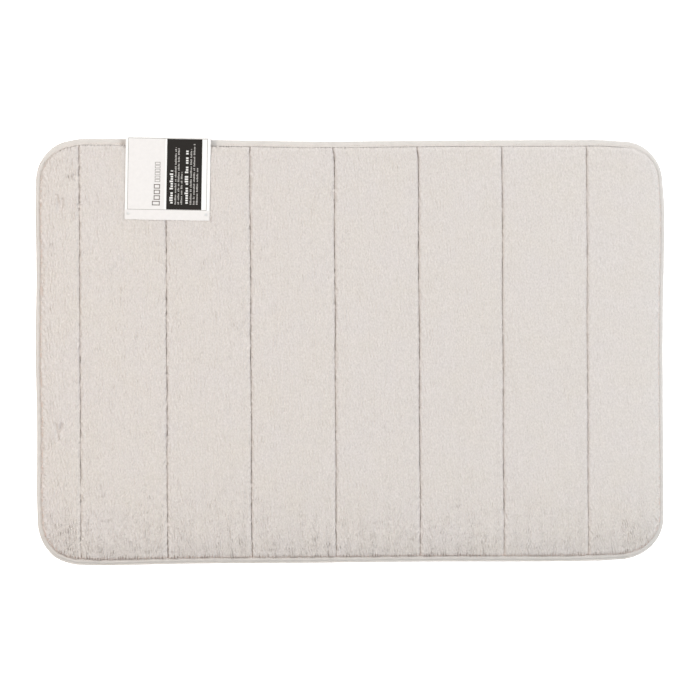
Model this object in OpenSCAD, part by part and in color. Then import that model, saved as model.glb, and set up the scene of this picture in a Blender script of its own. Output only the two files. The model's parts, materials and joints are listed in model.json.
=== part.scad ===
// Quilted memory-foam bath mat with a bound edge and a card label.
// Origin: middle of the mat, on the surface that it lies on. +X runs along its length, +Z up.

/* [Mat] */
// Length of the mat over its binding
mat_w = 762; // [750:1:800]
// Width of the mat over its binding
mat_d = 514; // [400:1:700]
// Radius of the outline's corners
corner_r = 52; // [35:1:52]

/* [Quilting] */
// Width of the channel at the left end
first_channel = 53.2; // [52.8:0.1:60]
// Width of the second channel
second_channel = 104.6; // [95:0.1:110]
// Width of each channel from the third to the seventh
channel_w = 102.4; // [95:0.1:103]
// Width of the floor of the groove along a seam
groove_w = 1.6; // [1.2:0.1:3]
// Radius of the plush shoulders beside a seam and inside the binding
shoulder_r = 6; // [4:0.5:7]

/* [Layers] */
// Height of the rubber grip coat under the backing
grip_t = 1.5; // [1.5:0.1:2]
// Thickness of the backing fabric
backing_t = 0.5; // [0.4:0.1:1]
// Thickness of the memory foam in the middle of a channel
foam_t = 8.8; // [8:0.1:15]
// Thickness of the plush cover with its pile
plush_t = 3; // [2.5:0.1:4]
// Thickness of the plush down the side of a channel
plush_side_t = 1.4; // [1:0.1:2]
// Thickness of the foam where stitches press it flat
pressed_foam_t = 0.8; // [0.5:0.1:1]
// Thickness of the plush where stitches press it flat
pressed_plush_t = 1.5; // [1:0.1:2]

/* [Binding] */
// Width of the binding that shows on the top
binding_top_w = 6.5; // [5:0.1:9]
// Width of the binding that is turned under
binding_under_w = 8; // [6:0.1:10]
// Thickness of the binding tape
tape_t = 0.5; // [0.4:0.1:0.5]
// Radius of the tape's fold round the edge
tape_fold_r = 1.4; // [1:0.1:1.6]
// Diameter of the sewing thread
thread_d = 0.4; // [0.3:0.05:0.45]

/* [Label] */
// Width of the card label
card_w = 103; // [60:1:110]
// Depth of one leaf of the card label
card_d = 101; // [60:1:120]
// Thickness of the card
card_t = 0.4; // [0.3:0.05:0.4]
// Radius of the card's two creases
crease_r = 2.5; // [1.5:0.1:3]
// How far the card stands out past the mat's edge
card_overhang = 3.2; // [2.5:0.1:6]
// Turn of the card away from square, in degrees
card_turn = 1; // [0:0.1:1.5]
// Diameter of a tag pin's head
pin_head_d = 3.2; // [2.5:0.1:4]
// Thickness of a tag pin's head
pin_head_t = 0.9; // [0.5:0.1:1]
// Diameter of a tag pin's thread and of its cross bar
pin_d = 0.5; // [0.4:0.05:0.5]
// Length of a tag pin's cross bar
pin_bar_l = 8; // [6:0.5:10]

/* [Hidden] */
$fn = 96;

// Seams, from left to right; the mat folds at the fourth
seam_count = 7;
fold_seam = 3;
seam_x = [
    for (i = [0:seam_count - 1])
        -mat_w / 2 + first_channel + (i > 0 ? second_channel : 0) + max(0, i - 1) * channel_w
];
body_gap = 0.3;
fold_x = seam_x[fold_seam] + groove_w / 2;

// Heights, from the floor up
backing_z = grip_t;
foam_z = backing_z + backing_t;
foam_top = foam_z + foam_t;
mat_top = foam_top + plush_t;
pressed_foam_top = foam_z + pressed_foam_t;
pressed_top = pressed_foam_top + pressed_plush_t;
binding_top = pressed_top + tape_t;
binding_low = backing_z - tape_t;

// Room between layers, so that curved faces never meet
layer_gap = 0.05;
// The layers stop short of the fold of the binding
layer_inset = tape_fold_r + 0.4;
grip_inset = binding_under_w + 0.4;
seam_slot_w = 0.8;

// Sewing: stitches sink this deep into the tape, this far in from the outline
thread_sink = 0.25;
stitch_inset = 5;
seam_end = 0.3;

// The card: its fold wraps the back edge, and pins hold both leaves near the front corners
card_x = -220.3;
card_gap = 0.05;
card_low = pin_d + card_gap;
card_top = mat_top + card_gap + card_t;
card_y = mat_d / 2 + card_overhang - card_d / 2;
pocket_gap = 1.5;
pin_x = 47.2;
pin_y = -43.2;
pin_hole_d = 1;

past = 1;
tall = 40;

plush_colour = [0.87, 0.84, 0.81];
tape_colour = [0.82, 0.80, 0.77];
thread_colour = [0.78, 0.76, 0.73];
foam_colour = [0.93, 0.90, 0.78];
backing_colour = [0.80, 0.79, 0.77];
grip_colour = [0.88, 0.88, 0.87];
card_colour = [0.93, 0.92, 0.90];
pin_colour = [0.90, 0.92, 0.93, 0.8];

// ---- Shapes shared by the sub-parts ----

// The mat's outline, drawn in from its edge
module outline(inset) {
    w = mat_w - 2 * inset;
    d = mat_d - 2 * inset;
    r = corner_r - inset;
    square([w - 2 * r, d], center = true);
    square([w, d - 2 * r], center = true);
    for (sx = [-1, 1], sy = [-1, 1])
        translate([sx * (w / 2 - r), sy * (d / 2 - r)]) circle(r);
}

// A flat layer within the outline
module slab(inset, base, top) {
    translate([0, 0, base]) linear_extrude(top - base) outline(inset);
}

// Runs a profile along the whole outline; its x counts inwards from the edge and its y is height
module along_outline() {
    side_w = mat_w - 2 * corner_r;
    side_d = mat_d - 2 * corner_r;
    for (half_turn = [0, 180]) rotate(half_turn) {
        translate([mat_w / 2, side_d / 2, 0]) rotate([90, 0, 0])
            linear_extrude(side_d) mirror([1, 0]) children();
        translate([-side_w / 2, mat_d / 2, 0]) rotate([90, 0, 90])
            linear_extrude(side_w) mirror([1, 0]) children();
        translate([side_w / 2, side_d / 2, 0])
            rotate_extrude(angle = 90) translate([corner_r, 0]) mirror([1, 0]) children();
        translate([-side_w / 2, side_d / 2, 0]) rotate(90)
            rotate_extrude(angle = 90) translate([corner_r, 0]) mirror([1, 0]) children();
    }
}

// What a wall with a round shoulder leaves free: x from start to the wall and over the shoulder
module shoulder_cut(start, wall, floor_z, top, r) {
    difference() {
        translate([start, floor_z]) square([wall + r - start, top - floor_z + past]);
        translate([wall, floor_z - past]) square([r + past, top - r - floor_z + past]);
        translate([wall + r, top - r]) circle(r);
    }
}

// A layer of raised channels, pressed flat along the seams and round the rim
module quilted(inset, base, floor_z, top, wall, r) {
    difference() {
        slab(inset, base, top);
        along_outline() shoulder_cut(-past, binding_top_w + wall, floor_z, top, r);
        for (x = seam_x) translate([x, 0, 0]) rotate([90, 0, 0])
            linear_extrude(mat_d + 2 * past, center = true) for (side = [0, 1])
                mirror([side, 0]) shoulder_cut(0, groove_w / 2 + wall, floor_z, top, r);
    }
}

// The parts of the mat on either side of the fold
module left_half() {
    intersection() {
        children();
        translate([fold_x - body_gap / 2 - mat_w, -mat_d, -past]) cube([mat_w, 2 * mat_d, tall]);
    }
}

module right_half() {
    intersection() {
        children();
        translate([fold_x + body_gap / 2, -mat_d, -past]) cube([mat_w, 2 * mat_d, tall]);
    }
}

module at_card() {
    translate([card_x, card_y, 0]) rotate(-card_turn) children();
}

// The needle holes of the two tag pins
module pin_holes() {
    at_card() for (side = [-1, 1])
        translate([side * pin_x, pin_y, -past]) cylinder(d = pin_hole_d, h = tall);
}

// ---- Layers of the mat ----

module plush_cover() {
    difference() {
        quilted(layer_inset, foam_z, pressed_top, mat_top, 0, shoulder_r);
        quilted(0, 0, pressed_foam_top + layer_gap, foam_top + layer_gap,
            plush_side_t - layer_gap, shoulder_r - plush_side_t + layer_gap);
    }
}

module foam_core() {
    quilted(layer_inset, foam_z, pressed_foam_top, foam_top,
        plush_side_t, shoulder_r - plush_side_t);
}

module backing() {
    slab(layer_inset, backing_z, foam_z);
}

module grip_layer() {
    difference() {
        slab(grip_inset, 0, grip_t);
        for (x = seam_x) translate([x, 0, grip_t])
            cube([seam_slot_w, mat_d, 2 * tape_t], center = true);
        at_card() translate([0, mat_d / 2, 0])
            cube([card_w + 2 * pocket_gap, card_d + mat_d + 2 * pocket_gap, tall], center = true);
    }
}

// The tape folded round the edge, with a shallow rut for each row of stitches
module tape_profile() {
    fold = tape_fold_r - tape_t;
    difference() {
        folded(binding_under_w, 0, binding_low, binding_top, tape_fold_r);
        folded(binding_under_w + past, tape_t, backing_z, pressed_top, fold);
        translate([binding_top_w, pressed_top - past]) square([binding_under_w, 2 * past + tape_t]);
        for (z = [binding_low, binding_top])
            translate([stitch_inset, z]) square([thread_d, 2 * thread_sink], center = true);
    }
}

// A strip of material doubled round the edge: flat at its inner end, round at the outer one
module folded(reach, inset, low, high, r) {
    translate([inset + r, low]) square([reach - inset - r, high - low]);
    translate([inset, low + r]) square([r + past, high - low - 2 * r]);
    for (z = [low + r, high - r]) translate([inset + r, z]) circle(r);
}

module edge_binding() {
    along_outline() tape_profile();
}

// Both threads of the lockstitch that holds the binding, sunk in their ruts
module binding_thread() {
    along_outline() for (z = [binding_low + thread_sink / 2, binding_top - thread_sink / 2])
        translate([stitch_inset, z]) square([thread_d - 2 * layer_gap, thread_sink], center = true);
}

// Both threads of one quilt seam: on the floor of the groove, and against the backing
module quilt_thread(i) {
    top_l = mat_d - 2 * (binding_top_w + seam_end);
    under_l = mat_d - 2 * (grip_inset + seam_end);
    for (run = [[top_l, pressed_top + thread_d / 2], [under_l, backing_z - thread_d / 2]])
        translate([seam_x[i], 0, run[1]]) rotate([90, 0, 0])
            cylinder(d = thread_d, h = run[0], center = true);
}

// ---- Label ----

// Two leaves and a spine between two creases
module card_profile() {
    difference() {
        creased(0, card_low, card_top, crease_r);
        creased(card_t, card_low + card_t, card_top - card_t, crease_r - card_t);
    }
}

module creased(inset, low, high, r) {
    reach = card_d / 2 - inset;
    start = inset > 0 ? -card_d / 2 - past : -card_d / 2;
    translate([start, low]) square([reach - r - start, high - low]);
    translate([reach - r - past, low + r]) square([r + past, high - low - 2 * r]);
    for (z = [low + r, high - r]) translate([reach - r, z]) circle(r);
}

module label_card() {
    difference() {
        at_card() rotate([90, 0, 90]) linear_extrude(card_w, center = true) card_profile();
        pin_holes();
    }
}

// A clear plastic pin: a round head, a thin thread, and a cross bar under the back leaf
module tag_pin(side) {
    at_card() translate([side * pin_x, pin_y, 0]) {
        translate([0, 0, card_top + layer_gap]) cylinder(d = pin_head_d, h = pin_head_t);
        translate([0, 0, pin_d / 2]) cylinder(d = pin_d, h = card_top);
        translate([0, 0, pin_d / 2]) rotate([0, 90, 0])
            cylinder(d = pin_d, h = pin_bar_l, center = true);
    }
}

// ---- Nodes ----

module plush_cover_left() {
    color(plush_colour) difference() {
        left_half() plush_cover();
        pin_holes();
    }
}
module foam_core_left() {
    color(foam_colour) difference() {
        left_half() foam_core();
        pin_holes();
    }
}
module backing_left() {
    color(backing_colour) difference() {
        left_half() backing();
        pin_holes();
    }
}
module grip_layer_left() { color(grip_colour) left_half() grip_layer(); }
module edge_binding_left() { color(tape_colour) left_half() edge_binding(); }
module binding_thread_left() { color(thread_colour) left_half() binding_thread(); }
module plush_cover_right() { color(plush_colour) right_half() plush_cover(); }
module foam_core_right() { color(foam_colour) right_half() foam_core(); }
module backing_right() { color(backing_colour) right_half() backing(); }
module grip_layer_right() { color(grip_colour) right_half() grip_layer(); }
module edge_binding_right() { color(tape_colour) right_half() edge_binding(); }
module binding_thread_right() { color(thread_colour) right_half() binding_thread(); }

plush_cover_left();
foam_core_left();
backing_left();
grip_layer_left();
edge_binding_left();
binding_thread_left();
color(thread_colour) quilt_thread(0);  // quilt_thread_1
color(thread_colour) quilt_thread(1);  // quilt_thread_2
color(thread_colour) quilt_thread(2);  // quilt_thread_3
color(thread_colour) quilt_thread(3);  // quilt_thread_4
color(card_colour) label_card();
color(pin_colour) tag_pin(-1);  // tag_pin_left
color(pin_colour) tag_pin(1);  // tag_pin_right
plush_cover_right();
foam_core_right();
backing_right();
grip_layer_right();
edge_binding_right();
binding_thread_right();
color(thread_colour) quilt_thread(4);  // quilt_thread_5
color(thread_colour) quilt_thread(5);  // quilt_thread_6
color(thread_colour) quilt_thread(6);  // quilt_thread_7
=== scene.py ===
import json
import math

import bmesh
import bpy
import numpy as np
from mathutils import Matrix, Vector
from mathutils.bvhtree import BVHTree


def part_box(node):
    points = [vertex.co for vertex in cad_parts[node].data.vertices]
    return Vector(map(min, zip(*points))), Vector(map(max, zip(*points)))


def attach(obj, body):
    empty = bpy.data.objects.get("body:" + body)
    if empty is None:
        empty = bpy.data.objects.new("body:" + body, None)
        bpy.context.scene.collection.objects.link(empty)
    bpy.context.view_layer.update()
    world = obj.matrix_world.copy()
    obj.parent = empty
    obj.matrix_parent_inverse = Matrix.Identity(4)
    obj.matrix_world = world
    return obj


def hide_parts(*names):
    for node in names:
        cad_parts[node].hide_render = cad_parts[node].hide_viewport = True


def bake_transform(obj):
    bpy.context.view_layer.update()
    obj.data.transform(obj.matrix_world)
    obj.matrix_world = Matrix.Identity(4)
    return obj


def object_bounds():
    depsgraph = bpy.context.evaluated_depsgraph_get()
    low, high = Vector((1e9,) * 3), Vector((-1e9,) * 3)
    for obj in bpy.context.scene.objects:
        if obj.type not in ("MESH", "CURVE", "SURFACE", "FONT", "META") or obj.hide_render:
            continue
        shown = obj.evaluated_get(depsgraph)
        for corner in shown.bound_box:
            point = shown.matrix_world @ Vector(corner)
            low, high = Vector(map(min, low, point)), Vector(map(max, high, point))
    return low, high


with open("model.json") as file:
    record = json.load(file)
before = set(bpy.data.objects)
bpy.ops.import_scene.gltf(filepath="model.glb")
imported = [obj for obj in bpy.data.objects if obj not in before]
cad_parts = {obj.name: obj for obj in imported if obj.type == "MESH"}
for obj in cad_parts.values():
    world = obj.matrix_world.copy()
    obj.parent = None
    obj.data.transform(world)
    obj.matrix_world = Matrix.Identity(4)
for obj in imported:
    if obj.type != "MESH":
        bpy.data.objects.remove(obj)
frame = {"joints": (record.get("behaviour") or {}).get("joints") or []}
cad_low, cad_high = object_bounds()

# ---------------------------------------------------------------- sizes, in metres

MM = 0.001
grid_step = 0.85 * MM
shoulder_density = 2.2

# From the frame: the outline, the layers, the seams and the fold
binding_low, binding_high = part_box("edge_binding_left")
half_w = cad_high.x
half_d = -binding_low.y
cover_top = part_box("plush_cover_left")[1].z
foam_low, foam_high = (corner.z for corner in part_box("foam_core_left"))
backing_low, backing_high = (corner.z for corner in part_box("backing_left"))
tape_low, tape_high = binding_low.z, binding_high.z
seam_boxes = [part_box(f"quilt_thread_{i}") for i in range(1, 8)]
seam_x = [(low.x + high.x) / 2 for low, high in seam_boxes]
stitch_z = seam_boxes[0][1].z
fold_x = frame["joints"][0]["pos_m"][0]

# The corners' radius
corner_r = 52 * MM

# Plush: the shoulders beside the seams and inside the binding, and how far the crown falls to them
tape_w = 6.5 * MM
rim_w, rim_bulge, rim_middle = 7 * MM, 0.4 * MM, 6.8 * MM
seam_w, seam_middle = 4 * MM, 10.4 * MM
seam_gaps = [0.08 * MM, 0.15 * MM, 0.17 * MM, 0.17 * MM, 0.17 * MM, 0.10 * MM, 0.02 * MM]
undercut = math.radians(35)
plush_low = tape_high - 0.7 * MM
rim_fall, rim_reach = 2.4 * MM, 34 * MM
crown_rise, crown_step, cloth_frames = 0.8 * MM, 6 * MM, 20
pile_depth = 0.32 * MM
tuft_depth = 0.5 * MM
# Strokes where the pile has been brushed apart, from and to, in mm
scuffs = [(-355, 187, -352, 179), (-352, 179, -352, 168), (-348, 183, -349, 169),
          (-358, -88, -354, -107), (-350, -88, -354, -97)]
scuff_depth, scuff_reach = 3 * MM, 1.3 * MM

# Where the mat lies a little in or out: middle and reach in shares of its half size, the shift in mm
nudges = [(-0.94, 0.90, 0.08, 0.15, 0.8, -0.9), (-0.89, 1.0, 0.03, 0.20, 0, -1.2),
          (-1.0, 0.80, 0.05, 0.08, 0.9, 0), (0.95, 0.93, 0.05, 0.07, -0.4, -0.4),
          (0.87, 1.0, 0.04, 0.10, 0, -1.6), (1.0, 0.81, 0.05, 0.09, -1.7, 0),
          (-1.0, -0.82, 0.06, 0.09, 1.0, 0), (-0.95, -0.96, 0.035, 0.05, 0, -1.0),
          (-0.78, -1.0, 0.08, 0.20, 0, -0.9), (0.84, -1.0, 0.12, 0.12, 0, 0.4),
          (-0.048, 0.97, 0.03, 0.04, -2.0, 0), (0.22, 0.97, 0.03, 0.04, -1.6, 0)]

# Sewing
stitch_pitch, stitch_l, stitch_r = 3.2 * MM, 2.7 * MM, 0.24 * MM
tape_t = 0.5 * MM
tape_stitch_in = 5 * MM

# Where the binding's ends lap, and how far
lap_x, lap_l = 313 * MM, 14 * MM

# Underside
dot_pitch, dot_r = 9 * MM, 1.7 * MM
dot_low = 0.08 * MM

# Card label
card_low, card_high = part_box("label_card")
card_mid = (card_low + card_high) / 2
card_turn = math.radians(-1)
card_w, card_d, card_t = 103 * MM, 101 * MM, 0.4 * MM
card_leaf_low, card_leaf_high = 0.55 * MM, card_high.z
crease_r = 2.5 * MM
ink_t = 0.04 * MM

# ---------------------------------------------------------------- camera, stage and light

view_mid = Vector((0.7 * MM, 1.7 * MM, 0))
view_height = 2.3
view_width = 0.8535

camera = bpy.data.objects.new("camera", bpy.data.cameras.new("camera"))
camera.data.lens = camera.data.sensor_width * view_height / view_width
camera.data.clip_end = 20
camera.location = view_mid + Vector((0, 0, view_height))
bpy.context.collection.objects.link(camera)
bpy.context.scene.camera = camera


def area_light(name, place, target, size, power, colour=(1, 1, 1)):
    light = bpy.data.objects.new(name, bpy.data.lights.new(name, "AREA"))
    light.data.shape = "DISK"
    light.data.size = size
    light.data.energy = power
    light.data.color = colour
    light.location = place
    light.rotation_euler = (Vector(target) - Vector(place)).to_track_quat("-Z", "Y").to_euler()
    bpy.context.collection.objects.link(light)


def lighting():
    area_light("key", (1.7, 0.3, 2.2), (0, 0, 0), 0.8, 39.4, (0.90, 0.962, 1.0))
    area_light("fill", (-1.3, 0.1, 1.6), (0, 0, 0), 0.8, 16.2, (1.0, 0.935, 0.87))
    area_light("back", (0, 5, 4), (0, 0, 0), 3, 77, (0.97, 0.985, 1.0))
    surroundings()
    bpy.context.scene.view_settings.view_transform = "Standard"


def surroundings():
    """An even pale light from all round, in front of a white backdrop."""
    world = bpy.data.worlds.new("world")
    bpy.context.scene.world = world
    world.use_nodes = True
    nodes, links = world.node_tree.nodes, world.node_tree.links
    light = nodes["Background"]
    light.inputs["Color"].default_value = (1, 1, 1, 1)
    light.inputs["Strength"].default_value = 0.345
    backdrop = nodes.new("ShaderNodeBackground")
    backdrop.inputs["Color"].default_value = (0.98, 0.98, 0.98, 1)
    path, choice = nodes.new("ShaderNodeLightPath"), nodes.new("ShaderNodeMixShader")
    links.new(path.outputs["Is Camera Ray"], choice.inputs["Fac"])
    links.new(light.outputs["Background"], choice.inputs[1])
    links.new(backdrop.outputs["Background"], choice.inputs[2])
    links.new(choice.outputs["Shader"], nodes["World Output"].inputs["Surface"])


# ---------------------------------------------------------------- materials


def shader(name, **settings):
    """A new material and its Principled shader, with numbers and colours set on its sockets."""
    material = bpy.data.materials.new(name)
    material.use_nodes = True
    principled = material.node_tree.nodes["Principled BSDF"]
    for socket, value in settings.items():
        principled.inputs[socket.replace("_", " ")].default_value = value
    return material, principled


def node(material, kind, **inputs):
    made = material.node_tree.nodes.new(kind)
    for socket, value in inputs.items():
        made.inputs[socket.replace("_", " ")].default_value = value
    return made


def link(material, output, target):
    material.node_tree.links.new(output, target)


def stretched(material, scale):
    """Object coordinates, squeezed so that a texture's grain is longer one way."""
    place = node(material, "ShaderNodeTexCoord")
    mapping = node(material, "ShaderNodeMapping")
    mapping.inputs["Scale"].default_value = scale
    link(material, place.outputs["Object"], mapping.inputs["Vector"])
    return mapping.outputs["Vector"]


def noise(material, vector, scale, detail=2.0, roughness=0.5):
    texture = node(material, "ShaderNodeTexNoise", Scale=scale, Detail=detail, Roughness=roughness)
    link(material, vector, texture.inputs["Vector"])
    return texture.outputs["Fac"]


def ramp(material, factor, stops):
    made = node(material, "ShaderNodeValToRGB")
    for element, (place, colour) in zip(made.color_ramp.elements, stops):
        element.position = place
        element.color = (*colour, 1)
    for place, colour in stops[2:]:
        made.color_ramp.elements.new(place).color = (*colour, 1)
    link(material, factor, made.inputs["Fac"])
    return made.outputs["Color"]


def colour_mix(material, way, factor):
    made = node(material, "ShaderNodeMix")
    made.data_type = "RGBA"
    made.blend_type = way
    made.inputs["Factor"].default_value = factor
    return made


def bump(material, principled, height, strength, distance, before=None):
    made = node(material, "ShaderNodeBump", Strength=strength, Distance=distance)
    link(material, height, made.inputs["Height"])
    if before is not None:
        link(material, before, made.inputs["Normal"])
    link(material, made.outputs["Normal"], principled.inputs["Normal"])
    return made.outputs["Normal"]


def plush_material():
    """Short dense pile: tufts that lie in fine streaks, painted shade that makes the pile darker and redder
    low in the grooves, and a soft sheen.
    """
    material, principled = shader(
        "plush", Roughness=0.92, Sheen_Weight=0.25, Sheen_Roughness=0.45,
        Sheen_Tint=(1.0, 0.98, 0.95, 1), Specular_IOR_Level=0.15,
    )
    across = stretched(material, (1, 0.6, 1))
    blotches = noise(material, stretched(material, (1, 1, 1)), 28, 3)
    streaks = noise(material, across, 640, 3, 0.7)
    tone = colour_mix(material, "MIX", 0.66)
    tone_with_painted_shade = colour_mix(material, "MULTIPLY", 1)
    # Painted shade: the pile turns darker and redder towards the bottom of each piece, low in the seam and
    # rim grooves, for the warm shade bounced between the plush walls.
    height = node(material, "ShaderNodeSeparateXYZ")
    link(material, node(material, "ShaderNodeTexCoord").outputs["Generated"], height.inputs["Vector"])
    painted_groove_shade = ramp(material, height.outputs["Z"], [(0.2, (1, 0.84, 0.78)), (0.5, (1, 1, 1))])
    warm = ramp(material, blotches, [(0.3, (0.692, 0.640, 0.588)), (0.7, (0.692, 0.645, 0.634))])
    streaky = ramp(material, streaks, [(0.3, (0.565, 0.515, 0.478)), (0.7, (0.800, 0.742, 0.706))])
    link(material, warm, tone.inputs["A"])
    link(material, streaky, tone.inputs["B"])
    link(material, tone.outputs["Result"], tone_with_painted_shade.inputs["A"])
    link(material, painted_groove_shade, tone_with_painted_shade.inputs["B"])
    link(material, tone_with_painted_shade.outputs["Result"], principled.inputs["Base Color"])
    tufts = bump(material, principled, noise(material, across, 600, 2), 0.9, 0.7 * MM)
    fibres = noise(material, stretched(material, (1, 0.7, 1)), 1900, 2, 0.6)
    bump(material, principled, fibres, 0.5, 0.2 * MM, tufts)
    return material


def fabric_material(name, colour, pitch, strength=0.4):
    """Plain weave: two crossed sets of ribs, with a little unevenness of tone."""
    material, principled = shader(name, Roughness=0.8, Sheen_Weight=0.15, Specular_IOR_Level=0.25)
    vector = stretched(material, (1, 1, 1))
    heights = []
    for direction in ("X", "Y"):
        ribs = node(material, "ShaderNodeTexWave", Scale=math.pi / 10 / pitch, Distortion=1.2)
        ribs.inputs["Detail Scale"].default_value = 2
        ribs.bands_direction = direction
        link(material, vector, ribs.inputs["Vector"])
        heights.append(ribs.outputs["Fac"])
    weave = node(material, "ShaderNodeMath")
    weave.operation = "MULTIPLY"
    link(material, heights[0], weave.inputs[0])
    link(material, heights[1], weave.inputs[1])
    dark = tuple(c * 0.93 for c in colour)
    tone = ramp(material, noise(material, vector, 160, 3), [(0.3, dark), (0.7, colour)])
    link(material, tone, principled.inputs["Base Color"])
    bump(material, principled, weave.outputs["Value"], strength, 0.15 * MM)
    return material


def grip_material():
    """Soft moulded rubber, slightly translucent white-grey."""
    material, principled = shader("grip_rubber", Roughness=0.42, Specular_IOR_Level=0.45)
    vector = stretched(material, (1, 1, 1))
    cloudy = noise(material, vector, 60, 2)
    tone = ramp(material, cloudy, [(0.3, (0.78, 0.78, 0.76)), (0.7, (0.84, 0.84, 0.82))])
    link(material, tone, principled.inputs["Base Color"])
    bump(material, principled, noise(material, vector, 900, 2), 0.15, 0.1 * MM)
    return material


def foam_material():
    """Open-cell foam: cream, with small pores."""
    material, principled = shader("foam", Roughness=0.95, Specular_IOR_Level=0.1)
    vector = stretched(material, (1, 1, 1))
    pores = node(material, "ShaderNodeTexVoronoi", Scale=900)
    link(material, vector, pores.inputs["Vector"])
    tone = ramp(material, pores.outputs["Distance"], [(0.0, (0.66, 0.60, 0.42)), (0.4, (0.80, 0.75, 0.58))])
    link(material, tone, principled.inputs["Base Color"])
    bump(material, principled, pores.outputs["Distance"], 0.6, 0.4 * MM)
    return material


def thread_material():
    """Twisted sewing thread: a fine slanted grain and a slight gloss."""
    material, principled = shader("thread", Roughness=0.55, Sheen_Weight=0.1, Specular_IOR_Level=0.4)
    vector = stretched(material, (1, 1, 0.4))
    twist = noise(material, vector, 2600, 1)
    tone = ramp(material, twist, [(0.35, (0.46, 0.37, 0.30)), (0.65, (0.62, 0.53, 0.46))])
    link(material, tone, principled.inputs["Base Color"])
    bump(material, principled, twist, 0.4, 0.08 * MM)
    return material


def paper_material(name, colour, gloss=0.6):
    """Coated card or ink on it: smooth, with a faint mottle."""
    material, principled = shader(name, Roughness=gloss, Specular_IOR_Level=0.2)
    vector = stretched(material, (1, 1, 1))
    pale = tuple(min(1, c * 1.03) for c in colour)
    tone = ramp(material, noise(material, vector, 220, 3), [(0.35, colour), (0.65, pale)])
    link(material, tone, principled.inputs["Base Color"])
    bump(material, principled, noise(material, vector, 1400, 2), 0.08, 0.05 * MM)
    return material


def clear_plastic_material():
    """Clear nylon, slightly milky."""
    material, principled = shader(
        "tag_plastic", Roughness=0.3, IOR=1.53, Transmission_Weight=0.15, Specular_IOR_Level=0.4
    )
    vector = stretched(material, (1, 1, 1))
    milky = noise(material, vector, 700, 2)
    tone = ramp(material, milky, [(0.3, (0.74, 0.74, 0.73)), (0.7, (0.84, 0.84, 0.83))])
    link(material, tone, principled.inputs["Base Color"])
    return material


def floor_material():
    """A plain white sweep, lit to the top of the picture's range."""
    material, principled = shader("floor", Roughness=0.9, Specular_IOR_Level=0.0)
    vector = stretched(material, (1, 1, 1))
    faint = noise(material, vector, 1.5, 1)
    tone = ramp(material, faint, [(0.3, (0.93, 0.93, 0.93)), (0.7, (0.95, 0.95, 0.95))])
    link(material, tone, principled.inputs["Base Color"])
    principled.inputs["Emission Color"].default_value = (1, 1, 1, 1)
    principled.inputs["Emission Strength"].default_value = 0.6
    return material


# ---------------------------------------------------------------- mesh helpers


def make_object(name, points, faces, material):
    mesh = bpy.data.meshes.new(name)
    mesh.from_pydata(points, [], faces)
    mesh.materials.append(material)
    mesh.update()
    mesh.polygons.foreach_set("use_smooth", [True] * len(mesh.polygons))
    made = bpy.data.objects.new(name, mesh)
    bpy.context.collection.objects.link(made)
    return made


def weld(piece):
    """Joins the points that a piece's grids share, and makes every face look the same way."""
    shape = bmesh.new()
    shape.from_mesh(piece.data)
    bmesh.ops.remove_doubles(shape, verts=shape.verts, dist=0.002 * MM)
    bmesh.ops.recalc_face_normals(shape, faces=shape.faces)
    shape.to_mesh(piece.data)
    shape.free()


def points_of(piece):
    flat = np.empty(len(piece.data.vertices) * 3, np.float32)
    piece.data.vertices.foreach_get("co", flat)
    return flat.reshape(-1, 3).astype(float)


def set_points(piece, points):
    piece.data.vertices.foreach_set("co", points.astype(np.float32).ravel())
    piece.data.update()


def normals_of(piece):
    flat = np.empty(len(piece.data.vertices) * 3, np.float32)
    piece.data.vertex_normals.foreach_get("vector", flat)
    return flat.reshape(-1, 3).astype(float)


def grid_faces(rows, columns, first=0, closed=False):
    """Quads between neighbouring points of a grid; closed joins the last column to the first."""
    index = first + np.arange(rows * columns).reshape(rows, columns)
    if closed:
        index = np.concatenate([index, index[:, :1]], axis=1)
    quads = np.stack([index[:-1, :-1], index[1:, :-1], index[1:, 1:], index[:-1, 1:]], -1)
    return quads.reshape(-1, 4).tolist()


def sweep_faces(rows, count):
    """Faces of a closed section run through rows of points, with both ends shut."""
    faces = grid_faces(rows, count, closed=True)
    last = (rows - 1) * count
    for i in range(count // 2 - 1):
        faces.append((i, i + 1, count - 2 - i, count - 1 - i))
        faces.append((last + count - 1 - i, last + count - 2 - i, last + i + 1, last + i))
    return faces


def stations(length, first, last, step):
    """Distances from 0 to length, closer together over a shoulder at either end."""
    head = np.linspace(0, first, math.ceil(shoulder_density * first / step) + 1)
    tail = length - np.linspace(0, last, math.ceil(shoulder_density * last / step) + 1)[::-1]
    between = np.linspace(head[-1], tail[0], max(2, math.ceil((tail[0] - head[-1]) / step) + 1))
    return np.concatenate([head, between[1:-1], tail])


def binding_gain(out_x, out_y):
    """How much wider the binding shows than its usual width, by the way out of the mat there."""
    return (0.25 + 1.0 * np.abs(out_y) + 0.1 * out_y - 0.65 * out_x) * MM


def outline_distance(x, y):
    """How far points lie inside the mat's outline, and the way out to it."""
    qx, qy = np.abs(x) - (half_w - corner_r), np.abs(y) - (half_d - corner_r)
    ox, oy = np.maximum(qx, 0), np.maximum(qy, 0)
    reach = np.hypot(ox, oy)
    distance = corner_r - reach - np.minimum(np.maximum(qx, qy), 0)
    safe = np.maximum(reach, 1e-9)
    out_x = np.where(reach > 0, ox / safe, qx > qy) * np.sign(x)
    out_y = np.where(reach > 0, oy / safe, qx <= qy) * np.sign(y)
    return distance, out_x, out_y


def hump(value, middle, reach):
    """A smooth bell: 1 at the middle, and next to nothing beyond twice the reach."""
    return np.exp(-(((value - middle) / reach) ** 2))


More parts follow.
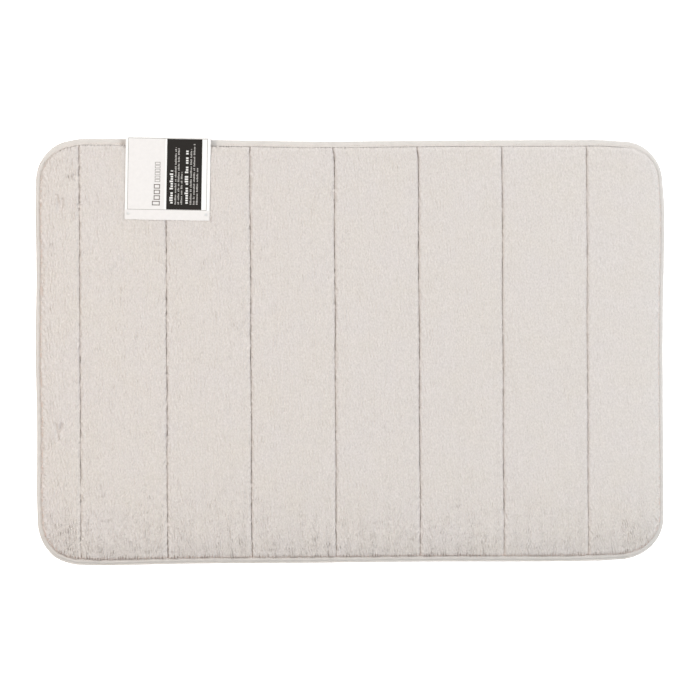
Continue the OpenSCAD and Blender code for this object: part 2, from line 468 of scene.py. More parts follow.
def settle(points):
    """The mat as it lies: a little deeper at its left end, its seams leaning by two millimetres."""
    x, y = points[:, 0] / half_w, points[:, 1] / half_d
    near_right, near_left = np.clip(x, 0, 1) ** 8, np.clip(-x, 0, 1) ** 8
    near_back, near_front = (1 + y) ** 2 / 4, (1 - y) ** 2 / 4
    lean = np.where(x > 0.75, 1 - (x - 0.75) * 2.6, 1.0)
    points[:, 0] -= (1.4 * y * lean + 0.5 * x * (1 - y * y)) * MM
    points[:, 0] += (1.1 * np.clip((0.5 - x) / 0.4, 0, 1) - 2.0 * near_left) * MM
    points[:, 0] += 0.25 * MM * np.sin(9 * y + 5 * x) * (1 - x**8)
    points[:, 0] += near_right * (1.2 + 2.4 * hump(y, 0.6, 0.3) + 0.5 * hump(y, -0.62, 0.25)) * MM
    points[:, 0] += near_left * np.sin(7.3 * (y - 0.21)) * hump(y, 0.1, 0.55) * MM
    points[:, 1] += (0.15 * y - 1.6 * x * y + 1.4 + 0.6 * x) * MM
    points[:, 1] += 0.35 * MM * np.sin(7 * x + 1.0 + y) * np.abs(y)
    points[:, 1] += near_back * (-0.3 - 2.8 * hump(x, -0.08, 0.30)) * MM
    points[:, 1] -= near_front * (1.3 + 1.6 * hump(x, -0.70, 0.20)) * MM
    points[:, 1] += near_front * 2.2 * hump(x, 0.93, 0.11) * MM
    for middle_x, middle_y, reach_x, reach_y, shift_x, shift_y in nudges:
        share = hump(x, middle_x, reach_x) * hump(y, middle_y, reach_y) * MM
        points[:, 0] += shift_x * share
        points[:, 1] += shift_y * share
    return points


def field(seed, wave_x, wave_y, spacing=0.8 * MM):
    """A smooth random field of unit spread, as a function of x and y, with ripples of those lengths."""
    columns, rows = round(2.2 * half_w / spacing), round(2.2 * half_d / spacing)
    spectrum = np.fft.rfft2(np.random.default_rng(seed).standard_normal((columns, rows)))
    across = np.abs(np.fft.fftfreq(columns, spacing))[:, None] * wave_x
    along = np.fft.rfftfreq(rows, spacing)[None] * wave_y
    band = np.exp(-(((across - 1) / 0.45) ** 2)) * np.exp(-((along / 0.8) ** 2))
    values = np.fft.irfft2(spectrum * band, s=(columns, rows))
    values /= values.std()

    def sample(x, y):
        u = np.clip((x + 1.08 * half_w) / spacing, 0, columns - 1.001)
        v = np.clip((y + 1.08 * half_d) / spacing, 0, rows - 1.001)
        i, j = u.astype(int), v.astype(int)
        a, b = u - i, v - j
        low = values[i, j] * (1 - a) + values[i + 1, j] * a
        high = values[i, j + 1] * (1 - a) + values[i + 1, j + 1] * a
        return low * (1 - b) + high * b

    return sample


streak_field = field(11, 3.8 * MM, 6 * MM)
tuft_field = field(12, 3.1 * MM, 3.1 * MM)
cross_tuft_field = field(13, 2.5 * MM, 60 * MM)
swell_field = field(14, 70 * MM, 90 * MM)
comb_field = field(15, 2.5 * MM, 3.2 * MM)


def half_name(side):
    return "left" if side < 0 else "right"


def bend_at_fold(piece):
    """The piece crosses the folding seam: its placement is baked into its points, and it is attached to
    neither half.
    """
    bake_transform(piece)


# ---------------------------------------------------------------- how the cover rises


def coarse_cover(number, left, right, material):
    """One channel of the cover as a coarse sheet, with the points that its seams and binding hold."""
    sheet = flat_channel(f"crown_{number}", left, right, crown_step, material)
    flip_down_facing(sheet)
    flat = points_of(sheet)
    free = outline_distance(flat[:, 0], flat[:, 1])[0] - tape_w
    for seam in (left, right):
        if seam is not None:
            free = np.minimum(free, np.abs(flat[:, 0] - seam))
    held = sheet.vertex_groups.new(name="held")
    held.add([int(i) for i in np.flatnonzero(free < 0.5 * MM)], 1.0, "REPLACE")
    return sheet


def simulate_crowns(material):
    """Blows up every coarse channel with Blender's Cloth and keeps how far it rose, up to a limit."""
    sheets = []
    for number in range(1, 9):
        sheet = coarse_cover(number, *channel_sides(number), material)
        cloth = sheet.modifiers.new("cloth", "CLOTH")
        cloth.settings.quality = 6
        cloth.settings.mass = 0.15
        cloth.settings.tension_stiffness = 25
        cloth.settings.compression_stiffness = 25
        cloth.settings.bending_stiffness = 1.5
        cloth.settings.use_pressure = True
        cloth.settings.uniform_pressure_force = 4
        cloth.settings.vertex_group_mass = "held"
        cloth.settings.effector_weights.gravity = 0
        cloth.collision_settings.use_collision = False
        cloth.point_cache.frame_end = cloth_frames
        sheet.modifiers.new("smooth", "SUBSURF").levels = 2
        sheets.append(sheet)
    for frame_number in range(1, cloth_frames + 1):
        bpy.context.scene.frame_set(frame_number)
    graph = bpy.context.evaluated_depsgraph_get()
    for number, sheet in enumerate(sheets, 1):
        mesh = bpy.data.meshes.new_from_object(sheet.evaluated_get(graph))
        risen = np.empty(len(mesh.vertices) * 3, np.float32)
        mesh.vertices.foreach_get("co", risen)
        risen = risen.reshape(-1, 3)
        risen[:, 2] = crown_rise * np.tanh(risen[:, 2] / crown_rise)
        faces = [tuple(face.vertices) for face in mesh.polygons]
        crowns[number] = BVHTree.FromPolygons(risen.tolist(), faces)
        bpy.data.objects.remove(sheet)
    bpy.context.scene.frame_set(1)


def crown_rises(number, x, y):
    """How far the cover has risen at points of a channel."""
    tree, down = crowns[number], Vector((0, 0, -1))
    hits = [tree.ray_cast(Vector((a, b, 1)), down)[0] for a, b in zip(x.tolist(), y.tolist())]
    return np.array([hit.z if hit else 0.0 for hit in hits])


crowns = {}


# ---------------------------------------------------------------- plush channels


def shoulder(s, width, bulge, middle):
    """A plush edge at s along it: its distance from the edge line, and its share of the full height."""
    angle = -undercut + (math.pi / 2 + undercut) * np.clip(s / width, 0, 1)
    distance = np.where(s < width, width - (width + bulge) * np.cos(angle), s)
    share = (middle - plush_low) / (cover_top - plush_low)
    above = share + (1 - share) * np.sin(angle)
    below = share + share * np.sin(angle) / math.sin(undercut)
    return distance, np.where(angle > 0, above, below)


def rim_opening(out_x, out_y):
    """How the plush stands back from the binding behind and in front, and leans over it at the right."""
    right, back, front = np.clip(out_x, 0, 1), np.clip(out_y, 0, 1), np.clip(-out_y, 0, 1)
    return (0.3 * right - (1.25 * back + 0.35 * front) * (1 - right)) * MM


def channel_sides(number):
    """The seams at a channel's left and right, or None where the binding is."""
    return (seam_x[number - 2] if number > 1 else None, seam_x[number - 1] if number < 8 else None)


def channel_grids(left, right, step):
    """Flat grids that cover one channel, close together over its shoulders."""
    if left is None:
        return end_channel_grids(-1, right, step)
    if right is None:
        return end_channel_grids(1, left, step)
    rows = stations(2 * (half_d - tape_w), rim_w, rim_w, step) - (half_d - tape_w)
    return [np.meshgrid(left + stations(right - left, seam_w, seam_w, step), rows)]


def end_channel_grids(side, seam, step):
    """Flat grids for the channel at one end: its long edge, its core, and both rounded corners."""
    arc_x, arc_y, radius = half_w - corner_r, half_d - corner_r, corner_r - tape_w
    centre_x = max(arc_x, abs(seam) + seam_w + MM)
    offset = centre_x - arc_x
    outward = 1 - stations(radius, rim_w, 0, step) / radius
    across = centre_x - stations(centre_x - abs(seam), 0, seam_w, step)
    along = np.linspace(-arc_y, arc_y, math.ceil(2 * arc_y / step) + 1)
    turn = np.linspace(0, math.pi / 2, math.ceil(radius * math.pi / 2 / step) + 1)
    grids = [np.meshgrid(centre_x + outward * (radius - offset), along), np.meshgrid(across, along)]
    for end in (-1, 1):
        x, share = np.meshgrid(across, outward)
        tall = np.sqrt(radius**2 - np.maximum(x - arc_x, 0) ** 2)
        grids.append((x, end * (arc_y + share * tall)))
        share, angle = np.meshgrid(outward, turn)
        reach = share * (np.sqrt(radius**2 - (offset * np.sin(angle)) ** 2) - offset * np.cos(angle))
        grids.append((centre_x + reach * np.cos(angle), end * (arc_y + reach * np.sin(angle))))
    return [(side * x, y) for x, y in grids]


def flat_channel(name, left, right, step, material):
    """One channel as a flat sheet, from seam to seam or from a seam to the binding."""
    points, faces = [], []
    for x, y in channel_grids(left, right, step):
        faces += grid_faces(*x.shape, first=sum(map(len, points)))
        points.append(np.column_stack([x.ravel(), y.ravel(), np.zeros(x.size)]))
    piece = make_object(name, np.concatenate(points), faces, material)
    weld(piece)
    return piece


def puff_up(piece, number, left, right):
    """Raises a flat channel: a low crown, round shoulders, and the pile on all of it."""
    flat = points_of(piece)
    x, y = flat[:, 0], flat[:, 1]
    inside, out_x, out_y = outline_distance(x, y)
    rim_s = np.maximum(inside - tape_w, 0)
    rim_d, rim_share = shoulder(rim_s, rim_w, rim_bulge + rim_opening(out_x, out_y), rim_middle)
    points = flat.copy()
    outward = rim_s - rim_d - binding_gain(out_x, out_y) * np.exp(-rim_s / (12 * MM))
    points[:, 0] += out_x * outward
    points[:, 1] += out_y * outward
    seam_s = np.full(len(x), 1.0)
    seam_share, side = np.ones(len(x)), np.ones(len(x))
    for seam, way in ((left, -1), (right, 1)):
        if seam is not None:
            s = np.maximum(way * (seam - x), 0)
            gap = seam_gaps[seam_x.index(seam)] + 0.2 * MM * np.exp(-rim_s / (10 * MM))
            d, share = shoulder(s, seam_w, -gap, seam_middle)
            points[:, 0] += way * (s - d)
            seam_share *= share
            side = np.where(s < seam_s, way, side)
            seam_s = np.minimum(seam_s, s)
    rim_drop = rim_fall * (1 + 0.4 * np.maximum(out_x, 0) - out_y - 0.1 * np.minimum(out_y, 0))
    fall = rim_drop * np.clip(1 - rim_s / rim_reach, 0, 1) ** 2
    fall += crown_rise - crown_rises(number, x, y)
    card_share = card_cover(x, y)
    fall += 1.0 * MM * card_share
    crown = cover_top - fall + 0.12 * MM * swell_field(x, y)
    points[:, 2] = plush_low + (crown - plush_low) * rim_share * seam_share
    notch = hump(seam_s, 0, 1.5 * MM) * np.exp(-rim_s / (9 * MM)) * np.clip(rim_s / MM, 0, 1)
    points[:, 2] -= 2 * MM * notch
    set_points(piece, points)
    flip_down_facing(piece)
    rough = 1 + 0.45 * np.clip(-x / half_w, -0.95, 1)
    rough *= 0.2 + 0.8 * np.clip(seam_s / (3 * MM), 0, 1)
    pile = pile_depth * rough * (0.7 * streak_field(x, y) + 0.8 * tuft_field(x, y))
    comb = np.clip(comb_field(x, y), -1.3, 0.8) * np.clip(seam_s / (4 * MM) - 0.2, 0, 1)
    pile += 0.9 * MM * np.clip(-3 * (y / half_d + 0.50), 0, 1) * comb
    edge = np.minimum(rim_s, seam_s)
    ruffle = np.exp(-edge / (3.5 * MM)) * np.clip(edge / (0.8 * MM), 0, 1)
    front = np.clip(-out_y, 0, 1)
    rim_tufts = (1 - 0.6 * np.maximum(out_y, 0)) * tuft_field(x, y) + 0.8 * front * comb
    tufts = np.where(seam_s < rim_s, 0.4 * side * cross_tuft_field(y, x), rim_tufts)
    pile += tuft_depth * ruffle * tufts
    points += normals_of(piece) * (pile * (1 - 0.8 * card_share) + scuff_marks(x, y))[:, None]
    set_points(piece, settle(points))


def flip_down_facing(piece):
    if piece.data.polygons[len(piece.data.polygons) // 2].normal.z < 0:
        piece.data.flip_normals()


def scuff_marks(x, y):
    """How deep the strokes on the left end press into the pile, as a negative height."""
    depth = np.zeros(len(x))
    for stroke in scuffs:
        x0, y0, x1, y1 = (value * MM for value in stroke)
        length = math.hypot(x1 - x0, y1 - y0)
        along = ((x - x0) * (x1 - x0) + (y - y0) * (y1 - y0)) / length
        past = along - np.clip(along, 0, length)
        across = ((x - x0) * (y1 - y0) - (y - y0) * (x1 - x0)) / length
        depth = np.minimum(depth, -scuff_depth * hump(np.hypot(across, past), 0, scuff_reach))
    return depth


def plush_top():
    material = plush_material()
    simulate_crowns(material)
    for number in range(1, 9):
        sides = channel_sides(number)
        piece = flat_channel(f"plush_channel_{number}", *sides, grid_step, material)
        puff_up(piece, number, *sides)
        half = "left" if number <= 4 else "right"
        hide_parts(f"plush_cover_{half}")
        if number in (4, 5):
            bend_at_fold(piece)
        else:
            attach(piece, "left_half" if number < 4 else "right_half")


# ---------------------------------------------------------------- layers below the plush


def half_columns(side, near_step, far_step):
    """Columns of a half's grid: close together near each seam, further apart between."""
    edge = half_w - corner_r
    if side < 0:
        marks = [-edge] + [x for x in seam_x if x < fold_x - MM] + [fold_x]
    else:
        marks = [fold_x] + [x for x in seam_x if x > fold_x + MM] + [edge]
    columns = []
    for a, b in zip(marks, marks[1:]):
        near = np.arange(0, 14 * MM, near_step)
        if b - a < 30 * MM:
            columns.append(np.linspace(a, b, max(3, round((b - a) / near_step))))
            continue
        middle = np.linspace(a + near[-1], b - near[-1], max(3, round((b - a) / far_step)))
        columns.append(np.concatenate([a + near, middle, (b - near)[::-1]]))
    return np.unique(np.round(np.concatenate(columns), 6))


def half_plate(name, side, inset, near_step, far_step, heights, material):
    """A closed plate over one half of the mat. heights(x, y, edge) gives its bottom and its top."""
    straight_x, straight_y, radius = half_w - corner_r, half_d - corner_r, corner_r - inset
    inner = half_columns(side, near_step, far_step)
    outer = np.linspace(0, 1, 16)[1:]
    rows = np.unique(np.concatenate([
        np.arange(-straight_y, straight_y, far_step), [straight_y],
        *(end * (straight_y + radius * np.sin(np.linspace(0, math.pi / 2, 16))) for end in (-1, 1)),
    ]).round(7))
    bow = np.sqrt(np.maximum(radius**2 - np.maximum(np.abs(rows) - straight_y, 0) ** 2, 0))
    beyond = side * (straight_x + bow[:, None] * outer[None])
    inner = np.repeat(inner[None], len(rows), axis=0)
    x = np.concatenate([inner, beyond] if side > 0 else [beyond[:, ::-1], inner], axis=1)
    y = np.repeat(rows[:, None], x.shape[1], axis=1)
    edge = outline_distance(x, y)[0] - inset
    bottom, top = heights(x, y, edge)
    size = x.size
    points = np.concatenate([np.column_stack([x.ravel(), y.ravel(), z.ravel()]) for z in (top, bottom)])
    faces = grid_faces(*x.shape) + [f[::-1] for f in grid_faces(*x.shape, first=size)]
    index = np.arange(size).reshape(x.shape)
    rim = np.concatenate([index[0], index[1:, -1], index[-1, -2::-1], index[-2:0:-1, 0]])
    faces += [(a, b, b + size, a + size) for a, b in zip(rim, np.roll(rim, -1))]
    piece = make_object(name, points, faces, material)
    weld(piece)
    set_points(piece, settle(points_of(piece)))
    return piece


def seam_dip(x, width):
    """1 on a seam, falling to 0 at width from it."""
    nearest = np.min([np.abs(x - seam) for seam in seam_x], axis=0)
    return np.clip(1 - nearest / width, 0, 1)


def foam_sheet(side, material):
    """The foam, squeezed thin along the seams and round the rim."""
    def heights(x, y, edge):
        squeeze = np.maximum(seam_dip(x, 7 * MM), np.clip(1 - edge / (16 * MM), 0, 1))
        full = np.sqrt(np.clip(1 - squeeze**2, 0, 1))
        return np.full(x.shape, foam_low), foam_low + 0.6 * MM + (foam_high - foam_low - 2 * MM) * full

    name = half_name(side)
    piece = half_plate(f"foam_sheet_{name}", side, tape_w + 4 * MM, 2 * MM, 12 * MM, heights, material)
    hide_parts(f"foam_core_{name}")
    bend_at_fold(piece)


def backing_fabric(side, material):
    """The fabric under the foam, drawn up a little where each seam runs."""
    def heights(x, y, edge):
        lift = 0.35 * MM * seam_dip(x, 2.5 * MM)
        return backing_low + lift, backing_high + lift

    name = half_name(side)
    piece = half_plate(f"backing_fabric_{name}", side, 2 * MM, 1.2 * MM, 6 * MM, heights, material)
    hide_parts(f"backing_{name}")
    bend_at_fold(piece)


def past_card(x, y):
    """How far points lie outside the card's leaves, less than nothing inside."""
    dx, dy = x - card_mid.x, y - card_mid.y
    a = dx * math.cos(card_turn) + dy * math.sin(card_turn)
    b = dy * math.cos(card_turn) - dx * math.sin(card_turn)
    return np.maximum(np.abs(a) - card_w / 2, np.abs(b) - card_d / 2)


def under_card(x, y, margin):
    return past_card(x, y) < margin


def card_cover(x, y):
    """1 where the card presses on the pile, falling to 0 over three millimetres beside it."""
    return np.clip(1 - past_card(x, y) / (3 * MM), 0, 1)


def grip_dots(side, material):
    """Small rubber domes printed on the backing in staggered rows."""
    row_pitch = dot_pitch * math.sqrt(3) / 2
    rows = np.arange(-half_d, half_d, row_pitch)
    columns = np.arange(-half_w, half_w, dot_pitch)
    x = columns[None] + (np.arange(len(rows)) % 2 * dot_pitch / 2)[:, None]
    y = np.repeat(rows[:, None], len(columns), axis=1)
    x, y = x.ravel(), y.ravel()
    keep = outline_distance(x, y)[0] > 11.5 * MM
    keep &= seam_dip(x, dot_r + 1.2 * MM) == 0
    keep &= ~under_card(x, y, dot_r + MM)
    keep &= (side * (x - fold_x) > 0)
    x, y = x[keep], y[keep]
    sides = 10
    angle = np.arange(sides) * 2 * math.pi / sides
    rings = [(1.0, backing_low + 0.05 * MM), (0.9, 0.45 * MM), (0.55, dot_low)]
    dome = [(dot_r * r * np.cos(a), dot_r * r * np.sin(a), z) for r, z in rings for a in angle]
    dome = np.array(dome + [(0, 0, 0)])
    tip = len(dome) - 1
    last_ring = tip - sides
    template = grid_faces(len(rings), sides, closed=True)
    template += [(last_ring + (i + 1) % sides, last_ring + i, tip) for i in range(sides)]
    template.append(tuple(range(sides)))
    centres = settle(np.column_stack([x, y, np.zeros(len(x))]))
    points = (centres[:, None] + dome[None]).reshape(-1, 3)
    faces = [[i + n * len(dome) for i in face] for n in range(len(x)) for face in template]
    name = half_name(side)
    piece = make_object(f"grip_dots_{name}", points, faces, material)
    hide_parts(f"grip_layer_{name}")
    bend_at_fold(piece)


# ---------------------------------------------------------------- binding


def outline_length(side):
    return 2 * (half_w - corner_r - side * fold_x + corner_r * math.pi / 2 + half_d - corner_r)


def outline_points(side, s):
    """Places s along one half's outline, which starts and ends at the fold, and the way in from each."""
    edge_x, edge_y = half_w - corner_r, half_d - corner_r
    start = side * fold_x
    run, turn = edge_x - start, corner_r * math.pi / 2
    near = np.minimum(s, outline_length(side) - s)
    upper = np.where(s < outline_length(side) / 2, 1, -1)
    angle = np.clip((near - run) / corner_r, 0, math.pi / 2)
    x = np.minimum(start + near, edge_x) + corner_r * np.sin(angle)
    y = edge_y + corner_r * np.cos(angle) - np.maximum(near - run - turn, 0)
    return side * x, upper * y, -side * np.sin(angle), -upper * np.cos(angle)


def smooth_curve(points, count):
    """A Catmull-Rom curve through the points."""
    p = np.array([points[0], *points, points[-1]], float)
    t = np.linspace(0, len(points) - 1.0001, count)
    i, u = t.astype(int), (t % 1)[:, None]
    a, b, c, d = p[i], p[i + 1], p[i + 2], p[i + 3]
    return 0.5 * (2 * b + (c - a) * u + (2 * a - 5 * b + 4 * c - d) * u**2 + (3 * b - a - 3 * c + d) * u**3)


def tape_section(rise=0.0):
    """The folded tape's section, as distance in from the outline and height: outside, then inside."""
    top, low = tape_high + rise, tape_low - rise
    outside = smooth_curve([
        (tape_w, top + 0.25 * MM), (5.8 * MM, top + 0.35 * MM), (tape_stitch_in, top + 0.2 * MM),
        (4.0 * MM, top + 0.4 * MM), (2.6 * MM, top + 0.05 * MM), (1.2 * MM, top - 0.65 * MM),
        (0.3 * MM - rise, top - 1.5 * MM), (0.05 * MM - rise, top - 2.3 * MM),
        (0.5 * MM - rise, low + 0.6 * MM), (1.5 * MM, low + 0.05 * MM), (3 * MM, low),
        (5.5 * MM, low + 0.03 * MM), (8 * MM, low),
    ], 34)
    along = np.gradient(outside, axis=0)
    along /= np.linalg.norm(along, axis=1)[:, None]
    inside = outside + tape_t * np.column_stack([-along[:, 1], along[:, 0]])
    return outside, inside


def swept_tape(name, side, start, end, material, rise=0.0):
    """A stretch of the binding: its section run along the outline, drawn in a little at each stitch."""
    s = np.linspace(start, end, math.ceil((end - start) / grid_step) + 1)
    x, y, in_x, in_y = outline_points(side, s)
    outside, inside = tape_section(rise)
    section = np.concatenate([outside, inside[::-1]])
    d, z = section[None, :, 0], section[None, :, 1]
    wander = 0.22 * MM * np.sin(s / (19 * MM)) * np.sin(s / (47 * MM) + 1)
    pull = np.exp(-(((d - tape_stitch_in) / (1.3 * MM)) ** 2)) * (z > (tape_low + tape_high) / 2)
    pucker = 0.13 * MM * np.cos(2 * math.pi * s / stitch_pitch) + 0.1 * MM * np.sin(s / (5.3 * MM))
    tilt = (0.5 * np.abs(in_x) + 0.4 * np.clip(-in_y, 0, 1) - 1.6 * np.clip(in_y, 0, 1)) * MM
    ridge = hump(d, 1.7 * MM, 1.5 * MM) * (z > tape_high - 1.2 * MM)
    lift = pucker[:, None] * pull + tilt[:, None] * ridge
    inner = np.clip((d - 1.5 * MM) / (tape_w - 1.5 * MM), 0, 1)
    gain = binding_gain(-in_x, -in_y)[:, None] * inner * (z > tape_low + 1.5 * MM)
    d = d + wander[:, None] * inner + gain
    across, along = x[:, None] + in_x[:, None] * d, y[:, None] + in_y[:, None] * d
    points = np.stack([across, along, z + lift], -1)
    faces = sweep_faces(len(s), len(section))
    piece = make_object(name, settle(points.reshape(-1, 3)), faces, material)
    weld(piece)
    return piece


def binding(side, material):
    name = half_name(side)
    piece = swept_tape(f"binding_tape_{name}", side, 0, outline_length(side), material)
    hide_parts(f"edge_binding_{name}")
    bend_at_fold(piece)


def binding_lap(material):
    """Where the tape's end laps over its start, on the front edge near the last seam."""
    start = outline_length(1) - (lap_x - fold_x)
    piece = swept_tape("binding_lap", 1, start, start + lap_l, material, rise=0.25 * MM)
    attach(piece, "right_half")


# ---------------------------------------------------------------- sewing


def stitches(name, places, ways, ups, material):
    """Short arched stitches: their middles, the way each runs, and the side it stands out on."""
    share = np.array([0, 0.15, 0.5, 0.85, 1])
    width = stitch_r * np.array([0.4, 0.85, 1, 0.85, 0.4])
    sides = 6
    angle = np.arange(sides) * 2 * math.pi / sides
    along = np.repeat((share - 0.5) * stitch_l, sides)
    out = np.repeat(0.2 * MM * np.sin(math.pi * share), sides) + np.outer(width, np.cos(angle)).ravel()
    aside = np.outer(width, np.sin(angle)).ravel()
    across = np.cross(ways, ups)
    points = (places[:, None] + ways[:, None] * along[None, :, None]
              + ups[:, None] * out[None, :, None] + across[:, None] * aside[None, :, None])
    count = len(share) * sides
    template = grid_faces(len(share), sides, closed=True)
    template += [tuple(range(sides)), tuple(range(count - 1, count - sides - 1, -1))]
    faces = [[i + n * count for i in face] for n in range(len(places)) for face in template]
    piece = make_object(name, settle(points.reshape(-1, 3)), faces, material)
    return piece


def both_sides(top, top_z, under, under_z, way_top, way_under):
    """Stitch places, ways and ups for a row seen on the top and a row seen underneath."""
    places = np.concatenate([np.column_stack([top, np.full(len(top), top_z)]),
                             np.column_stack([under, np.full(len(under), under_z)])])
    ways = np.concatenate([way_top, way_under])
    ups = np.zeros((len(places), 3))
    ups[:, 2] = np.concatenate([np.ones(len(top)), -np.ones(len(under))])
    return places, ways, ups


def quilt_stitches(number, material):
    """One quilt seam: stitches down in the groove, and stitches on the backing."""
    reach = half_d - tape_w - 2 * MM
    y = np.arange(-reach, reach, stitch_pitch)
    row = np.column_stack([np.full(len(y), seam_x[number - 1]), y])
    under = row[np.abs(y) < half_d - 10 * MM]
    way = np.tile([0.0, 1.0, 0.0], (len(row), 1))
    rows = both_sides(row, stitch_z, under, backing_low + 0.3 * MM, way, way[: len(under)])
    piece = stitches(f"quilt_stitches_{number}", *rows, material)
    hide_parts(f"quilt_thread_{number}")
    if number == 4:
        bend_at_fold(piece)
    else:
        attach(piece, "left_half" if number < 4 else "right_half")


def binding_stitches(side, material):
    """The row that holds the binding, seen on the tape's top and on its underside."""
    s = np.arange(stitch_pitch / 2, outline_length(side), stitch_pitch)
    x, y, in_x, in_y = outline_points(side, s)
    row_in = tape_stitch_in + 0.7 * binding_gain(-in_x, -in_y)
    row = np.column_stack([x + in_x * row_in, y + in_y * row_in])
    way = np.column_stack([-in_y, in_x, np.zeros(len(s))])
    clear = ~under_card(row[:, 0], row[:, 1], 2 * MM)
    rows = both_sides(row, tape_high - 0.2 * MM, row[clear], tape_low + 0.05 * MM, way, way[clear])
    name = half_name(side)
    piece = stitches(f"binding_stitches_{name}", *rows, material)
    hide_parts(f"binding_thread_{name}")
    bend_at_fold(piece)


# ---------------------------------------------------------------- card label


def on_card(a, b, z):
    """Points given across and along the card, in the mat's frame."""
    turned = Matrix.Rotation(card_turn, 3, "Z") @ Vector((a, b, 0))
    return (card_mid.x + turned.x, card_mid.y + turned.y, z)


def crease_path(inset):
    """Half of the card's section: the front leaf, the spine with its two creases, the back leaf."""
    low, high = card_leaf_low + inset, card_leaf_high - inset
    reach, r = card_d / 2 - inset, crease_r - inset
    turn = np.linspace(0, math.pi / 2, 8)
    path = [(-card_d / 2, high), (0, high)]
    path += [(reach - r + r * math.sin(t), high - r + r * math.cos(t)) for t in turn]
    path += [(reach - r + r * math.cos(t), low + r - r * math.sin(t)) for t in turn]
    return path + [(0, low), (-card_d / 2, low)]


def card_sleeve(material):
    """The card, folded round the mat's back edge."""
    section = crease_path(0) + crease_path(card_t)[::-1]
    columns = np.linspace(-card_w / 2, card_w / 2, 9)
    points = [on_card(a, b, z) for a in columns for b, z in section]
    piece = make_object("label_sleeve", points, sweep_faces(len(columns), len(section)), material)
    weld(piece)
    sharpen(piece)
    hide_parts("label_card")
    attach(piece, "left_half")


def sharpen(piece, angle=35):
    """Flat faces stay flat: only edges gentler than the angle are smoothed."""
    piece.data.set_sharp_from_angle(angle=math.radians(angle))


def ink(name, patches, level, material):
    """Printed areas: (left, right, bottom, top) in millimetres from the middle of the card's front."""
    low = card_leaf_high + level * ink_t
    corners, faces = [], []
    for left, right, bottom, top in patches:
        base = len(corners)
        for z in (low, low + ink_t):
            corners += [on_card(a * MM, b * MM, z) for a, b in
                        ((left, bottom), (right, bottom), (right, top), (left, top))]
        faces += [[base + i for i in face] for face in
                  ((3, 2, 1, 0), (4, 5, 6, 7), (0, 1, 5, 4), (1, 2, 6, 5), (2, 3, 7, 6), (3, 0, 4, 7))]
    piece = make_object(name, corners, faces, material)
    piece.data.polygons.foreach_set("use_smooth", [False] * len(piece.data.polygons))
    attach(piece, "left_half")


def frame_patches(left, right, bottom, top, width):
    """Four thin patches round a rectangle."""
    return [(left, right, bottom, bottom + width), (left, right, top - width, top),
            (left, left + width, bottom, top), (right - width, right, bottom, top)]


def word_patches(a, bottom, top, height, letter, seed):
    """A line of blocks that stand for words and read upwards. They spell nothing."""
    random = np.random.default_rng(seed)
    patches, b, left = [], bottom, 0
    while b < top:
        if left == 0:
            left, b = int(random.integers(2, 9)), b + 0.9 * letter
        tall = height * random.choice([0.72, 0.72, 1.0])
        patches.append((a - height / 2 + height - tall, a + height / 2, b, min(b + 0.68 * letter, top)))
        b, left = b + letter, left - 1
    return patches


def label_print():
    """A pale field, a dark panel with lines of blocks, a thin frame and a plain motif."""
    pale = paper_material("print_pale", (0.82, 0.788, 0.770))
    dark = paper_material("print_dark", (0.020, 0.017, 0.015), 0.4)
    grey = paper_material("print_grey", (0.22, 0.19, 0.17))
    light = paper_material("print_light", (0.30, 0.27, 0.25))
    ink("label_field", [(-48, -3.4, -38, 48.2)], 0, pale)
    ink("label_strip", [(-51.3, 51.3, -50.3, -38.6)], 0, pale)
    ink("label_panel", [(-1.2, 41.4, -37.7, 47.9)], 0, dark)
    ink("label_frame", frame_patches(-48.4, 47.8, -38.4, 48.6, 0.5), 1, light)
    headings = word_patches(4.6, -33, 8.5, 4.0, 2.9, 1) + word_patches(22.9, -33, 34, 4.0, 2.9, 2)
    ink("label_headings", headings, 1, paper_material("print_white", (0.80, 0.78, 0.76)))
    lines = []
    rows = [(9.6, 37), (13.2, 36.5), (17, 7.3), (28.2, 35.2), (32, 42.5), (35.8, 13.3)]
    for seed, (a, top) in enumerate(rows, 10):
        lines += word_patches(a, -33, top, 2.0, 1.75, seed)
    ink("label_lines", lines, 1, paper_material("print_mid", (0.46, 0.44, 0.42)))
    bold = []
    for i in range(4):
        left, bottom = -16.5 - 2 * (i == 0), -33 + 6.8 * i
        bold += frame_patches(left, -9, bottom, bottom + 5.4, 1.05)
    ink("label_motif", bold, 1, grey)
    thin = []
    for i in range(6):
        bottom = -4.6 + 4.2 * i
        thin += frame_patches(-15.5, -9, bottom, bottom + 3.2, 0.6)
    ink("label_motif_thin", thin, 1, light)


def turned(name, profile, segments, material, axis="Z"):
    """A round piece: a profile of radius and height, turned about an axis."""
    angle = np.arange(segments) * 2 * math.pi / segments
    points = np.array([(r * math.cos(t), r * math.sin(t), z) for r, z in profile for t in angle])
    if axis == "X":
        points = points[:, [2, 1, 0]]
    piece = make_object(name, points, grid_faces(len(profile), segments, closed=True), material)
    weld(piece)
    return piece


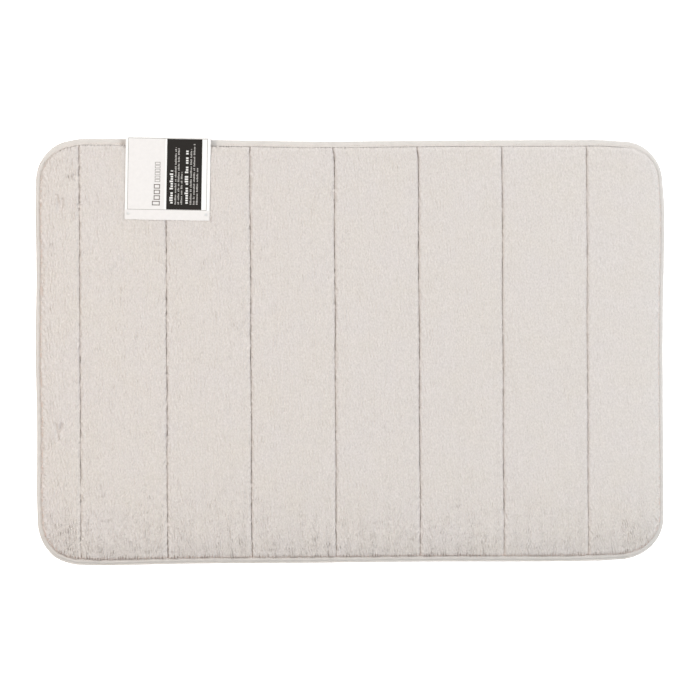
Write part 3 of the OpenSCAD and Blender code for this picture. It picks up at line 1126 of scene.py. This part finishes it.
def tag_pin(name, material):
    """A clear plastic pin: a rounded head on the card, a thread through the mat, a bar underneath."""
    low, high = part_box(f"tag_pin_{name}")
    middle = (low + high) / 2
    head_r, head_low, bar_r = 1.6 * MM, high.z - 0.9 * MM, 0.25 * MM
    rim = [(head_r - 0.3 * MM * (1 - math.cos(t)), head_low + 0.45 * MM + 0.45 * MM * math.sin(t))
           for t in np.linspace(-math.pi / 2, math.pi / 2, 9)]
    crown = [(0.8 * MM, high.z - 0.15 * MM), (0, high.z - 0.2 * MM)]
    head = turned(f"tag_pin_head_{name}", [(0, head_low)] + rim + crown, 32, material)
    thread_top = head_low + 0.1 * MM
    strand = [(0, bar_r), (bar_r, bar_r), (bar_r, thread_top), (0, thread_top)]
    thread = turned(f"tag_pin_thread_{name}", strand, 16, material)
    reach = (high.x - low.x) / 2
    ends = [(bar_r * math.sin(t), -reach + bar_r * (1 - math.cos(t)))
            for t in np.linspace(0, math.pi / 2, 6)]
    bar = turned(f"tag_pin_bar_{name}", ends + [(r, -z) for r, z in ends[::-1]], 16, material, axis="X")
    bar.location.z = bar_r
    for piece in (head, thread, bar):
        piece.location += Vector((middle.x, middle.y, 0))
        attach(piece, "left_half")
    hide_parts(f"tag_pin_{name}")


# ---------------------------------------------------------------- build


def stage():
    corners = [(-6, -6, 0), (6, -6, 0), (6, 6, 0), (-6, 6, 0)]
    floor = make_object("floor", corners, [(0, 1, 2, 3)], floor_material())
    floor.location.z = -0.1 * MM


tape = fabric_material("binding_tape", (0.702, 0.662, 0.626), 0.7 * MM)
thread = thread_material()
plush_top()
for half in (-1, 1):
    foam_sheet(half, foam_material())
    backing_fabric(half, fabric_material("backing_cloth", (0.60, 0.58, 0.55), 1.1 * MM))
    grip_dots(half, grip_material())
    binding(half, tape)
    binding_stitches(half, thread)
binding_lap(tape)
for number in range(1, 8):
    quilt_stitches(number, thread)
card_sleeve(paper_material("card", (0.93, 0.91, 0.89)))
label_print()
plastic = clear_plastic_material()
for name in ("left", "right"):
    tag_pin(name, plastic)
stage()
lighting()
